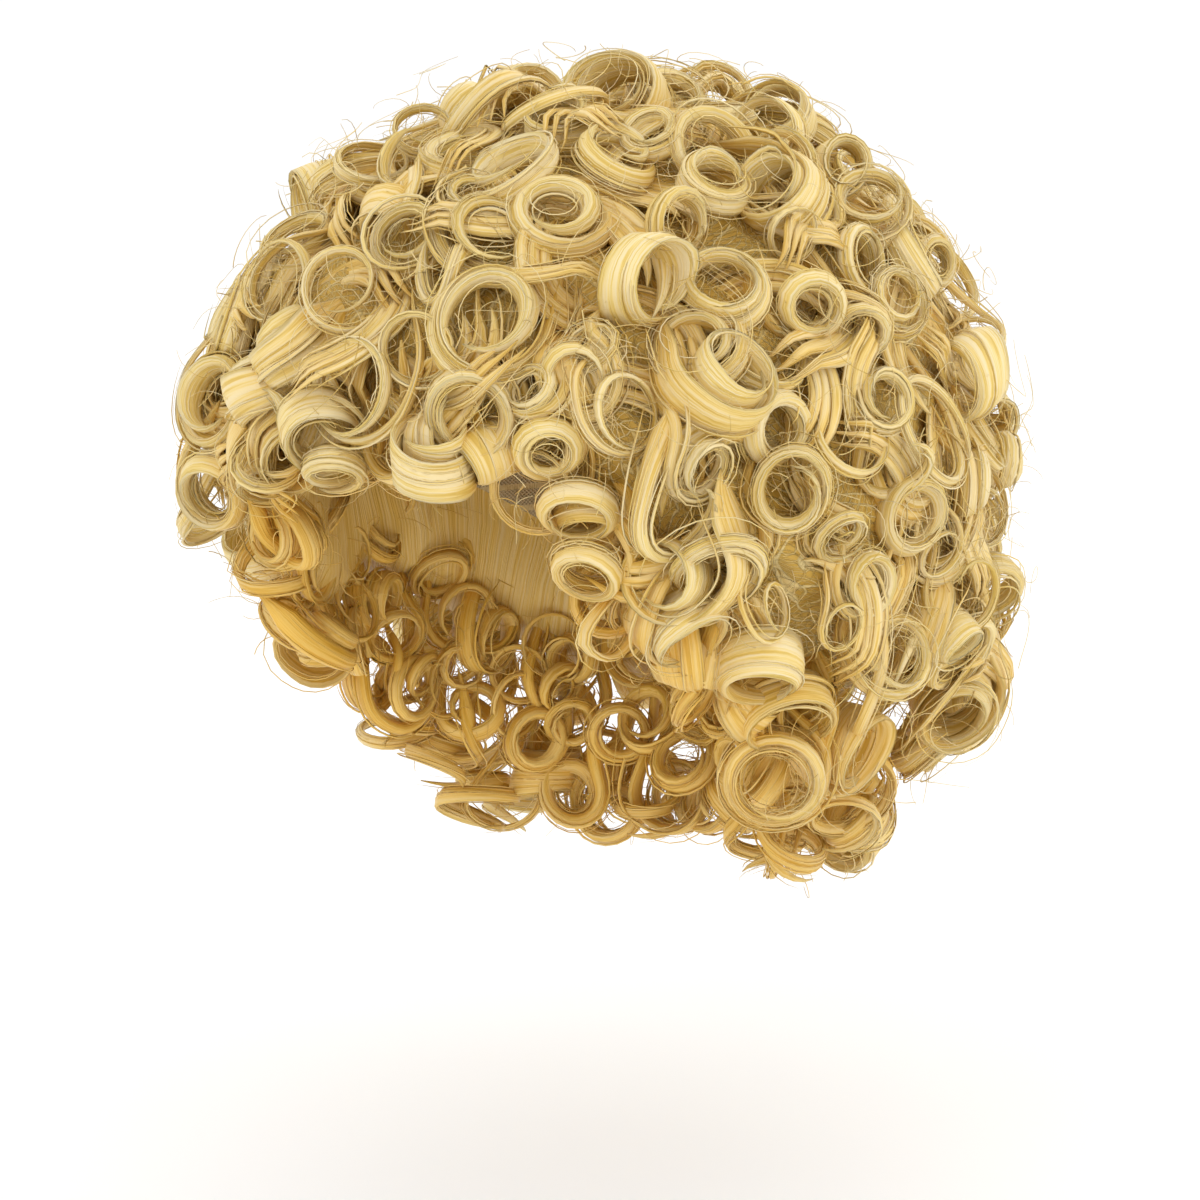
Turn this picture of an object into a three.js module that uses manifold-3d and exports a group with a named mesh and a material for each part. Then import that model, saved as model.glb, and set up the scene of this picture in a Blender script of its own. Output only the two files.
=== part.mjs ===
// A short, full costume wig of round ringlets on a stretch cap, in the form it has when worn.
// Millimetres, +Z up. The wig faces -Y, and +X is the wearer's left.
// The origin is the inside of the cap where the top of the head rests.
import * as THREE from "three";
import { mergeVertices } from "three/addons/utils/BufferGeometryUtils.js";
import Module from "manifold-3d";

const wasm = await Module();
wasm.setup();

// The head that the wig fits
const headBreadth = 146;
const headLength = 176;
const headRise = 82; // from the widest level of the head up to its top
const napeDepth = 110; // from the widest level down to where the neck is straight
const neckLength = 112; // front to back at the neck, between the hair's inner faces
const neckBreadth = 132;

// The cap and the gap that keeps the pieces apart
const capWall = 2;
const capNapeDrop = 134; // from the top of the head down to the cap's lowest edge
const pieceGap = 0.3;

// The body of hair under the ringlets
const hairBreadth = 254;
const hairLength = 266;
const hairSetBack = 26; // how far the hair's middle lies behind the head's
const hairAboveHead = 34;
const hairNapeDrop = 206; // from the top of the head down to the hem that the lowest ringlets hang from
const hairWidestDrop = 96; // from the top of the head down to the hair's widest level
const hairLowerDepth = 157; // from the widest level down to where the hair's sides would meet
const hairLowerFullness = 2.6; // 2 is an ellipse, and more is squarer
const hemTuckHeight = 38; // how far up the hair rounds in towards its hem
const hemTuck = 0.4; // share of the hair's thickness that is tucked in at the hem

// Where the sections of hair meet
const crownDepth = 6; // the crown section ends this far below the top of the head
const napeDrop = 110; // the nape section starts this far below the top of the head
const sideStart = 38; // degrees round from the front
const sideEnd = 112;

// A ringlet
const ringletRadius = 13.5;
const ringletWidth = 13; // of its lock, along the ringlet's axis
const ringletThickness = 8; // of its lock, across the end that faces out
const ringletTurns = 1.1;
const ringletSteps = 7;
const ringletTaper = 0.35; // how much thinner a lock is at its end than at its root
const ringletFlare = 0.45; // how much wider the root of a ringlet is than its end
const ringletSink = 9; // how deep its root lies in the body of hair
const ringletStand = 9.5; // how far the middle of its end stands off the body of hair
const ringletRise = 0.75; // 1 rises evenly, and less rises most near the root
const hangingStretch = 1.25; // how much longer than wide a ringlet is drawn out at the hem
const ringletLean = 34; // degrees, the most that its axis leans from straight out
const ringletSpread = 0.34; // how much the sizes of ringlets differ, as a share of the middle size

// How finely the walls are faceted
const columns = 28;
const hairRows = 8;
const capRows = 6;
const rowsBelowCap = 4;

// How far down the cap's edge lies round from the front, as a share of its drop at the nape
const capEdge = [
  { turn: 0, drop: 0.37 },
  { turn: 25, drop: 0.4 },
  { turn: 50, drop: 0.57 },
  { turn: 70, drop: 0.73 },
  { turn: 92, drop: 0.64 },
  { turn: 120, drop: 0.81 },
  { turn: 150, drop: 0.97 },
  { turn: 180, drop: 1 },
];

// The same for the hair's hem
const hairHem = [
  { turn: 0, drop: 0.29 },
  { turn: 20, drop: 0.3 },
  { turn: 35, drop: 0.37 },
  { turn: 45, drop: 0.475 },
  { turn: 55, drop: 0.59 },
  { turn: 65, drop: 0.69 },
  { turn: 82, drop: 0.74 },
  { turn: 94, drop: 0.8 },
  { turn: 106, drop: 0.91 },
  { turn: 120, drop: 0.98 },
  { turn: 140, drop: 1 },
  { turn: 180, drop: 0.98 },
];

// Rows of ringlets. polar is the angle down from the hair's top in degrees, and from and to are turns.
const ringletRows = [
  { piece: "hair_crown", polar: 9, from: 60, to: 300, count: 3 },
  { piece: "hair_crown", polar: 25, from: 24, to: 336, count: 6 },
  { piece: "hair_crown", polar: 39, from: 14, to: 346, count: 10 },
  { piece: "hair_fringe", polar: 55, from: -28, to: 28, count: 4 },
  { piece: "hair_fringe", polar: 70, from: -29, to: 29, count: 4 },
  { piece: "hair_side_left", polar: 55, from: 48, to: 102, count: 3 },
  { piece: "hair_side_left", polar: 71, from: 50, to: 101, count: 3 },
  { piece: "hair_side_left", polar: 88, from: 50, to: 102, count: 3 },
  { piece: "hair_side_left", polar: 104, from: 62, to: 103, count: 3 },
  { piece: "hair_side_right", polar: 55, from: -102, to: -48, count: 3 },
  { piece: "hair_side_right", polar: 71, from: -101, to: -50, count: 3 },
  { piece: "hair_side_right", polar: 88, from: -102, to: -50, count: 3 },
  { piece: "hair_side_right", polar: 104, from: -103, to: -62, count: 3 },
  { piece: "hair_back", polar: 55, from: 122, to: 238, count: 5 },
  { piece: "hair_back", polar: 71, from: 121, to: 239, count: 6 },
  { piece: "hair_back", polar: 86, from: 122, to: 238, count: 5 },
  { piece: "hair_nape", polar: 104, from: 124, to: 236, count: 5 },
  { piece: "hair_nape", polar: 120, from: 126, to: 234, count: 5 },
];

// Ringlets that hang from the hem. hang is how far below it their middle lies, as a share of their radius,
// inset is their place across the hair's thickness, from 0 at its inside to 1 outside.
const hemRows = [
  { piece: "hair_side_left", from: 49, to: 102, count: 4, hang: 0.1, inset: 0.75, size: 0.9 },
  { piece: "hair_side_right", from: -102, to: -49, count: 4, hang: 0.1, inset: 0.75, size: 0.9 },
  { piece: "hair_nape", from: 118, to: 242, count: 6, hang: 0.7, inset: 0.85, size: 1.1 },
  { piece: "hair_nape", from: 132, to: 228, count: 4, hang: 0.8, inset: 0.3, size: 1.2 },
];

// The three corners of a lock's section, flat side out
const lockSection = [
  { across: 0.5, along: 0.5 },
  { across: -0.5, along: 0.5 },
  { across: 0, along: -0.5 },
];

const hairColour = 0xd8b878;
const capColour = 0xc9a86c;

const degrees = Math.PI / 180;

// The same value from 0 to 1 for the same two whole numbers, so that no two ringlets are alike
function vary(index, salt) {
  const wave = Math.sin(index * 12.9898 + salt * 78.233) * 43758.5453;
  return wave - Math.floor(wave);
}

// The height of an edge at a turn: a smooth curve through a table's shares, alike on both sides of the wig
function edgeHeight(table, napeDrop, turn) {
  const round = Math.abs(((turn + 540) % 360) - 180);
  const curve = new THREE.CubicInterpolant(
    table.map((row) => row.turn),
    table.map((row) => row.drop),
    1,
  );
  return -napeDrop * curve.evaluate(round)[0];
}

const capEdgeAt = (turn) => edgeHeight(capEdge, capNapeDrop, turn);
const hemAt = (turn) => edgeHeight(hairHem, hairNapeDrop, turn);

const smooth = (x) => THREE.MathUtils.smoothstep(x, 0, 1);

// A point of the head's form grown outwards by a distance, at a turn from the front and a height
function headPoint(turn, height, grow) {
  const widest = -headRise;
  const rise = headRise + grow;
  let breadth = headBreadth / 2 + grow;
  let length = headLength / 2 + grow;
  if (height > widest) {
    const share = Math.sqrt(Math.max(0, 1 - ((height - widest) / rise) ** 2));
    breadth *= share;
    length *= share;
  } else {
    const down = smooth((widest - height) / napeDepth);
    breadth += (neckBreadth / 2 - headBreadth / 2) * down;
    length += (neckLength / 2 - headLength / 2) * down;
  }
  const a = turn * degrees;
  return new THREE.Vector3(breadth * Math.sin(a), -length * Math.cos(a), height);
}

// How wide the body of hair is at a height, as a share of its greatest width
function hairSpread(height) {
  const above = height + hairWidestDrop;
  if (above > 0) return Math.sqrt(Math.max(0, 1 - (above / (hairAboveHead + hairWidestDrop)) ** 2));
  const share = Math.min(1, -above / hairLowerDepth);
  return (1 - share ** hairLowerFullness) ** (1 / hairLowerFullness);
}

// A point on the inside of the hair, which lies on the cap and hangs past its edge
const hairInside = (turn, height) => headPoint(turn, height, capWall + pieceGap);

// A point on the outside of the body of hair
function hairOutside(turn, height) {
  const spread = hairSpread(height);
  const a = turn * degrees;
  const point = new THREE.Vector3(
    (hairBreadth / 2) * spread * Math.sin(a),
    hairSetBack - (hairLength / 2) * spread * Math.cos(a),
    height,
  );
  const nearHem = 1 - (height - hemAt(turn)) / hemTuckHeight;
  if (nearHem <= 0) return point;
  const inside = hairInside(turn, height);
  return point.lerp(inside, hemTuck * Math.min(1, nearHem) ** 2);
}

// The height of a row of a wall, from its top at share 0 to its lower edge at share 1
const heightAt = (top, bottom, share) => top - (top - bottom) * (1 - Math.cos((share * Math.PI) / 2));

// A solid between an outer and an inner dome that meet at a lower edge
function domeWall(outer, outerTop, inner, innerTop, edge, rows) {
  const positions = [];
  const faces = [];
  const addDome = (surface, top) => {
    const start = positions.length / 3;
    positions.push(...surface(0, top).toArray());
    for (let row = 1; row <= rows; row++)
      for (let column = 0; column < columns; column++) {
        const turn = (column * 360) / columns;
        positions.push(...surface(turn, heightAt(top, edge(turn), row / rows)).toArray());
      }
    return (row, column) => (row === 0 ? start : start + 1 + (row - 1) * columns + (column % columns));
  };
  const out = addDome(outer, outerTop);
  const inn = addDome(inner, innerTop);
  const quad = (a, b, c, d) => faces.push(a, b, c, a, c, d);
  for (let column = 0; column < columns; column++) {
    const next = column + 1;
    faces.push(out(0, 0), out(1, column), out(1, next));
    faces.push(inn(0, 0), inn(1, next), inn(1, column));
    for (let row = 1; row < rows; row++) {
      quad(out(row, column), out(row + 1, column), out(row + 1, next), out(row, next));
      quad(inn(row, column), inn(row, next), inn(row + 1, next), inn(row + 1, column));
    }
    quad(out(rows, column), inn(rows, column), inn(rows, next), out(rows, next));
  }
  return geometryFrom(positions, faces);
}

function geometryFrom(positions, faces) {
  const geometry = new THREE.BufferGeometry();
  geometry.setAttribute("position", new THREE.Float32BufferAttribute(positions, 3));
  geometry.setIndex(faces);
  return geometry;
}

// A closed mesh as a solid that can be joined and cut
function solidFrom(geometry) {
  const bare = geometry.clone();
  bare.deleteAttribute("normal");
  bare.deleteAttribute("uv");
  const merged = mergeVertices(bare, 1e-4);
  return new wasm.Manifold(
    new wasm.Mesh({
      numProp: 3,
      vertProperties: merged.attributes.position.array,
      triVerts: new Uint32Array(merged.index.array),
    }),
  );
}

function geometryOf(solid) {
  const mesh = solid.getMesh();
  const geometry = geometryFrom(mesh.vertProperties, Array.from(mesh.triVerts));
  geometry.computeVertexNormals();
  return geometry;
}

// One ringlet about its own axis, +Z outwards: a lock that rises in a wide arc and closes into a ring
function ringletLock(size, start, hand) {
  const positions = [];
  const faces = [];
  const radius = ringletRadius * size;
  for (let step = 0; step <= ringletSteps; step++) {
    const share = step / ringletSteps;
    const a = start + hand * share * ringletTurns * 2 * Math.PI;
    const r = radius * (1 + ringletFlare * (1 - share) ** 2);
    const height = THREE.MathUtils.lerp(-ringletSink, ringletStand, share ** ringletRise);
    const out = new THREE.Vector3(Math.cos(a), Math.sin(a), 0);
    const centre = out.clone().multiplyScalar(r);
    centre.z = height;
    const taper = size * (1 - ringletTaper * share);
    for (const corner of lockSection) {
      const place = centre.clone().addScaledVector(out, corner.across * ringletThickness * taper);
      place.z += corner.along * ringletWidth * taper;
      positions.push(...place.toArray());
    }
  }
  const sides = lockSection.length;
  const at = (step, side) => step * sides + (side % sides);
  const add = (a, b, c) => (hand > 0 ? faces.push(a, c, b) : faces.push(a, b, c));
  for (let step = 0; step < ringletSteps; step++)
    for (let side = 0; side < sides; side++) {
      add(at(step, side), at(step, side + 1), at(step + 1, side + 1));
      add(at(step, side), at(step + 1, side + 1), at(step + 1, side));
    }
  add(at(0, 0), at(0, 2), at(0, 1));
  add(at(ringletSteps, 0), at(ringletSteps, 1), at(ringletSteps, 2));
  return geometryFrom(positions, faces);
}

// The direction that faces outwards from the body of hair at a turn and a height
function outwards(turn, height) {
  const across = hairOutside(turn + 1, height).sub(hairOutside(turn - 1, height));
  const up = hairOutside(turn, height + 0.5).sub(hairOutside(turn, height - 0.5));
  return across.cross(up).normalize();
}

// A ringlet set on the hair at a point. Its axis leans from the outward direction, and its ring is
// drawn out downwards.
function ringletAt(index, point, normal, size, stretch) {
  const lean = ringletLean * degrees * Math.sqrt(vary(index, 1));
  const leanWay = vary(index, 2) * 2 * Math.PI;
  const down = new THREE.Vector3(0, 0, -1).addScaledVector(normal, normal.z);
  if (down.lengthSq() < 1e-3) down.set(0, 1, 0);
  down.normalize();
  const side = new THREE.Vector3().crossVectors(normal, down);
  const axis = normal
    .clone()
    .multiplyScalar(Math.cos(lean))
    .addScaledVector(down, Math.sin(lean) * Math.cos(leanWay))
    .addScaledVector(side, Math.sin(lean) * Math.sin(leanWay));
  const along = down.clone().addScaledVector(axis, -down.dot(axis)).normalize();
  const third = new THREE.Vector3().crossVectors(axis, along);
  const hand = vary(index, 3) < 0.5 ? -1 : 1;
  // A lock starts on the crown's side of its ring, where along points away from
  const start = (140 + 80 * vary(index, 4)) * degrees;
  const scale = size * (1 + ringletSpread * (vary(index, 5) - 0.5));
  const placed = new THREE.Matrix4().makeBasis(along, third, axis).setPosition(point);
  return solidFrom(ringletLock(scale, start, hand).scale(stretch, 1, 1).applyMatrix4(placed));
}

// Every ringlet, as a solid with the name of the section that it grows from
function allRinglets() {
  const made = [];
  const rise = hairAboveHead + hairWidestDrop;
  for (const row of ringletRows)
    for (let k = 0; k < row.count; k++) {
      const index = made.length;
      const share = (k + 0.5 * (vary(index, 6) - 0.5)) / (row.count - 1);
      const turn = row.from + (row.to - row.from) * Math.min(1, Math.max(0, share));
      const cosine = Math.cos((row.polar + 3 * (vary(index, 7) - 0.5)) * degrees);
      const height = -hairWidestDrop + cosine * (cosine > 0 ? rise : hairLowerDepth);
      const solid = ringletAt(index, hairOutside(turn, height), outwards(turn, height), 1, 1);
      made.push({ piece: row.piece, solid });
    }
  for (const row of hemRows)
    for (let k = 0; k < row.count; k++) {
      const index = made.length;
      const turn = row.from + ((row.to - row.from) * k) / (row.count - 1);
      const point = hairInside(turn, hemAt(turn)).lerp(hairOutside(turn, hemAt(turn)), row.inset);
      point.z -= row.hang * row.size * ringletRadius;
      const solid = ringletAt(index, point, outwards(turn, -hairWidestDrop), row.size, hangingStretch);
      made.push({ piece: row.piece, solid });
    }
  return made;
}

// The space of one section of hair: a wedge round the hair's middle between two turns and two heights,
// drawn in by half a gap on each side
function sectionSpace(from, to, top, bottom) {
  const reach = hairBreadth + hairLength;
  const shape = new THREE.Shape();
  const half = ((to - from) / 2) * degrees;
  const corner = pieceGap / 2 / Math.sin(half);
  shape.moveTo(0, -corner);
  shape.lineTo(-reach * Math.sin(half), -corner - reach * Math.cos(half));
  shape.lineTo(-reach * Math.sin(half), -reach * 2);
  shape.lineTo(reach * Math.sin(half), -reach * 2);
  shape.lineTo(reach * Math.sin(half), -corner - reach * Math.cos(half));
  shape.closePath();
  const depth = top - bottom - pieceGap;
  const space = new THREE.ExtrudeGeometry(shape, { depth, bevelEnabled: false });
  space.translate(0, 0, bottom + pieceGap / 2);
  space.rotateZ(((from + to) / 2) * degrees);
  space.translate(0, hairSetBack, 0);
  return solidFrom(space);
}

// All of the space above a height
function crownSpace(bottom) {
  const reach = hairBreadth + hairLength;
  const space = new THREE.BoxGeometry(reach, reach, reach);
  space.translate(0, 0, bottom + pieceGap / 2 + reach / 2);
  return solidFrom(space);
}

// The head and cap as one solid, which the hair is kept out of. Its facets follow the cap's down to its edge.
function headSpace(lowest) {
  const grow = capWall + pieceGap;
  const rows = capRows + rowsBelowCap;
  const rings = [];
  const positions = [...headPoint(0, grow, grow).toArray(), 0, 0, lowest];
  for (let row = 1; row <= rows; row++) {
    rings.push(positions.length / 3);
    for (let column = 0; column < columns; column++) {
      const turn = (column * 360) / columns;
      const edge = capEdgeAt(turn);
      const onCap = row <= capRows;
      const below = THREE.MathUtils.lerp(edge, lowest, (row - capRows) / rowsBelowCap);
      const height = onCap ? heightAt(grow, edge, row / capRows) : below;
      positions.push(...headPoint(turn, height, grow).toArray());
    }
  }
  const faces = [];
  for (let column = 0; column < columns; column++) {
    const next = (column + 1) % columns;
    faces.push(0, rings[0] + column, rings[0] + next);
    faces.push(1, rings[rows - 1] + next, rings[rows - 1] + column);
    for (let row = 1; row < rows; row++) {
      const [upper, lower] = [rings[row - 1], rings[row]];
      faces.push(upper + column, lower + column, lower + next, upper + column, lower + next, upper + next);
    }
  }
  return solidFrom(geometryFrom(positions, faces));
}

function meshOf(name, geometry, colour, roughness) {
  const material = new THREE.MeshStandardMaterial({ color: colour, roughness, metalness: 0 });
  const mesh = new THREE.Mesh(geometry, material);
  mesh.name = name;
  return mesh;
}

// The stretch cap: a thin dome with a low brow, ear tabs and a deep nape
function cap() {
  const outer = (turn, height) => headPoint(turn, height, capWall);
  const inner = (turn, height) => headPoint(turn, height, 0);
  return meshOf("wig_cap", domeWall(outer, capWall, inner, 0, capEdgeAt, capRows), capColour, 0.9);
}

// The sections of hair, each a share of the body of hair with its ringlets fused on
function hairSections() {
  const lowest = -(hairWidestDrop + hairLowerDepth + ringletRadius * 4);
  const head = headSpace(lowest);
  const skin = (turn, height) => headPoint(turn, height, 0);
  const body = solidFrom(domeWall(hairOutside, hairAboveHead, skin, 0, hemAt, hairRows));
  const spaces = {
    hair_crown: crownSpace(-crownDepth),
    hair_fringe: sectionSpace(-sideStart, sideStart, -crownDepth, lowest),
    hair_side_left: sectionSpace(sideStart, sideEnd, -crownDepth, lowest),
    hair_side_right: sectionSpace(-sideEnd, -sideStart, -crownDepth, lowest),
    hair_back: sectionSpace(sideEnd, 360 - sideEnd, -crownDepth, -napeDrop),
    hair_nape: sectionSpace(sideEnd, 360 - sideEnd, -napeDrop, lowest),
  };
  const ringlets = allRinglets();
  return Object.entries(spaces).map(([name, space]) => {
    const own = ringlets.filter((ringlet) => ringlet.piece === name).map((ringlet) => ringlet.solid);
    const fused = wasm.Manifold.union([body, ...own]);
    const section = fused.subtract(head).intersect(space);
    const largest = section.decompose().sort((a, b) => b.volume() - a.volume())[0];
    return meshOf(name, geometryOf(largest), hairColour, 0.45);
  });
}

const wig = new THREE.Group();
wig.add(cap(), ...hairSections());

export default wig;
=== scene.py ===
import math

import bpy
import numpy as np
from mathutils import Matrix, Vector


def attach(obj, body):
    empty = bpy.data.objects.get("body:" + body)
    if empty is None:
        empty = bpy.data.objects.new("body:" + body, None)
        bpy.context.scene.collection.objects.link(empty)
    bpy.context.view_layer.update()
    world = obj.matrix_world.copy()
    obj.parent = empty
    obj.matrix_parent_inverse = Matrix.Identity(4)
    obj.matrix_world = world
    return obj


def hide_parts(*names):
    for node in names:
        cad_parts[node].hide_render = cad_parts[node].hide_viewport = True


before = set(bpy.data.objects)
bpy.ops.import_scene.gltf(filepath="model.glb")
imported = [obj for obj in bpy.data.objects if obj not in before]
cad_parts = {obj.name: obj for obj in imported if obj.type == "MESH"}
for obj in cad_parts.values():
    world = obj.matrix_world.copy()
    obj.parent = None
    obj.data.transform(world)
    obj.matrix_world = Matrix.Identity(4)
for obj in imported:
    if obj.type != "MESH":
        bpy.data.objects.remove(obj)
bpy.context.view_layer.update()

# A short, full costume wig of glossy blond ringlets, seen as it is worn.
# Lengths are in millimetres until a mesh is made, and then in metres. The wig faces -Y, +Z is up,
# and the origin is the inside of the cap where the top of the head rests.
METRES = 0.001
FULL_TURN = 2 * math.pi
rng = np.random.default_rng(7)
uniform = rng.uniform
norm = np.linalg.norm

# The head's form and the body of hair, the same sizes as in the solids
HEAD_BREADTH, HEAD_LENGTH, HEAD_RISE = 146.0, 176.0, 82.0
NAPE_DEPTH, NECK_LENGTH, NECK_BREADTH = 110.0, 112.0, 132.0
CAP_WALL, CAP_NAPE_DROP = 2.0, 134.0
HAIR_BREADTH, HAIR_LENGTH, HAIR_SET_BACK = 254.0, 266.0, 26.0
HAIR_ABOVE, HAIR_NAPE_DROP = 34.0, 206.0
WIDEST_DROP, LOWER_DEPTH, LOWER_FULLNESS = 96.0, 157.0, 2.6
TUCK_HEIGHT, TUCK = 38.0, 0.4
CROWN_DEPTH, NAPE_DROP = 6.0, 110.0
SIDE_START, SIDE_END = 38.0, 112.0
HIGHEST_PLACE = HAIR_ABOVE - 0.8

# Drop of the cap's edge and of the hair's hem round from the front, as shares of their drops at the nape
EDGE_TURNS = (0, 25, 50, 70, 92, 120, 150, 180)
EDGE_DROPS = (0.37, 0.40, 0.57, 0.73, 0.64, 0.81, 0.97, 1.0)
HEM_TURNS = (0, 20, 35, 45, 55, 65, 82, 94, 106, 120, 140, 180)
HEM_DROPS = (0.29, 0.30, 0.37, 0.475, 0.59, 0.69, 0.74, 0.80, 0.91, 0.98, 1.0, 0.98)

PIECES = ("hair_crown", "hair_fringe", "hair_side_left", "hair_side_right", "hair_back", "hair_nape")


def from_front(turn):
    """Degrees round from the front, the same on either side."""
    return abs((turn + 180.0) % 360.0 - 180.0)


def hem_height(turn):
    return -HAIR_NAPE_DROP * float(np.interp(from_front(turn), HEM_TURNS, HEM_DROPS))


def cap_edge_height(turn):
    return -CAP_NAPE_DROP * float(np.interp(from_front(turn), EDGE_TURNS, EDGE_DROPS))


def smooth(x):
    x = min(1.0, max(0.0, x))
    return x * x * (3.0 - 2.0 * x)


def unit(v):
    return v / max(1e-9, norm(v))


def normalised(v, least=0.0):
    """Many directions at once, each brought to a length of 1."""
    return v / (norm(v, axis=-1)[..., None] + least)


def head_point(turn, height, grow):
    """A point of the head's form grown outwards by a distance."""
    breadth, length = HEAD_BREADTH / 2 + grow, HEAD_LENGTH / 2 + grow
    if height > -HEAD_RISE:
        share = math.sqrt(max(0.0, 1 - ((height + HEAD_RISE) / (HEAD_RISE + grow)) ** 2))
        breadth, length = breadth * share, length * share
    else:
        down = smooth((-HEAD_RISE - height) / NAPE_DEPTH)
        breadth += (NECK_BREADTH - HEAD_BREADTH) / 2 * down
        length += (NECK_LENGTH - HEAD_LENGTH) / 2 * down
    a = math.radians(turn)
    return np.array([breadth * math.sin(a), -length * math.cos(a), height])


def hair_spread(height):
    """How wide the body of hair is at a height, as a share of its greatest width."""
    above = height + WIDEST_DROP
    if above > 0:
        return math.sqrt(max(0.0, 1 - (above / (HAIR_ABOVE + WIDEST_DROP)) ** 2))
    return (1 - min(1.0, -above / LOWER_DEPTH) ** LOWER_FULLNESS) ** (1 / LOWER_FULLNESS)


def hair_point(turn, height, grow=0.0):
    """A point on the outside of the body of hair, pushed outwards by a distance."""
    spread = hair_spread(height)
    a = math.radians(turn)
    point = np.array([
        HAIR_BREADTH / 2 * spread * math.sin(a),
        HAIR_SET_BACK - HAIR_LENGTH / 2 * spread * math.cos(a),
        height,
    ])
    near_hem = 1 - (height - hem_height(turn)) / TUCK_HEIGHT
    if near_hem > 0:
        inside = head_point(turn, height, CAP_WALL)
        point += (inside - point) * TUCK * min(1.0, near_hem) ** 2
    if grow:
        point = point + outward(turn, height) * grow
    return point


def outward(turn, height):
    """The direction that faces out of the body of hair."""
    across = hair_point(turn + 1.5, height) - hair_point(turn - 1.5, height)
    top = min(height + 1.0, HAIR_ABOVE - 0.2)
    up = hair_point(turn, top) - hair_point(turn, top - 2.0)
    normal = np.cross(across, up)
    return normal / norm(normal)


def piece_at(turn, height):
    """The section of hair that a place belongs to."""
    if height > -CROWN_DEPTH:
        return "hair_crown"
    around = (turn + 180.0) % 360.0 - 180.0
    if abs(around) < SIDE_START:
        return "hair_fringe"
    if abs(around) < SIDE_END:
        return "hair_side_left" if around > 0 else "hair_side_right"
    return "hair_back" if height > -NAPE_DROP else "hair_nape"


# Painted shade: hair is painted darker the deeper it lies inside the body, in full from this far in
PAINTED_DEPTH_SHADE, PAINTED_SHADE_REACH = 0.6, 14.0

# Strands that stand further off the body than they may are drawn in, and so are those outside the box.
# Each is drawn in softly: a part of what is over is spared, so that locks keep their form.
FREE_REACH, REACH_SPARED, REACH_SOFTNESS = 12.0, 7.0, 9.0
REACH_BOX = ((-156.0, 153.0), (-121.0, 183.0), (-256.0, 58.0))
BOX_SPARED, BOX_SOFTNESS = 6.0, 12.0

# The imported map: how much strip lies in a column, and the space left free beside and above a strip
PACKED_PER_COLUMN = 60
SPACE_BESIDE, SPACE_ABOVE = 0.01, 0.08


# Strands and bands are gathered per section and made into one mesh each

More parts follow.
